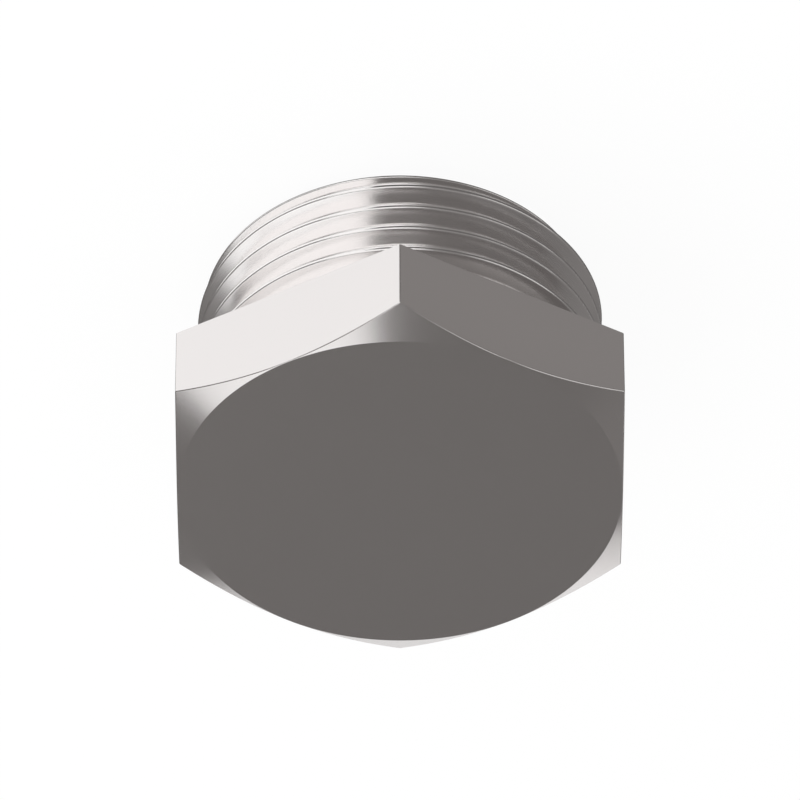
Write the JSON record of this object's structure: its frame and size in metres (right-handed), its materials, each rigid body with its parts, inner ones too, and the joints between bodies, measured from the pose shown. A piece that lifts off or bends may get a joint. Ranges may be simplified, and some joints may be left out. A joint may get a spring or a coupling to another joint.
{
  "type": "blanking plug",
  "caption": "Hexagon-head blanking plug with a short parallel G 1 pipe thread, bare machined steel, no washer fitted.",
  "frame": {"origin": "centre of the end face of the thread, on which the plug stands", "axes": "+Z along the thread's axis, up through the head; two corners of the hexagon lie on the Y axis and two flats face +X and -X"},
  "size_m": [0.036, 0.0416, 0.021],
  "materials": {
    "steel": "fine turned and milled, satin"
  },
  "bodies": {
    "root": {"plug": "steel"}
  },
  "joints": []
}
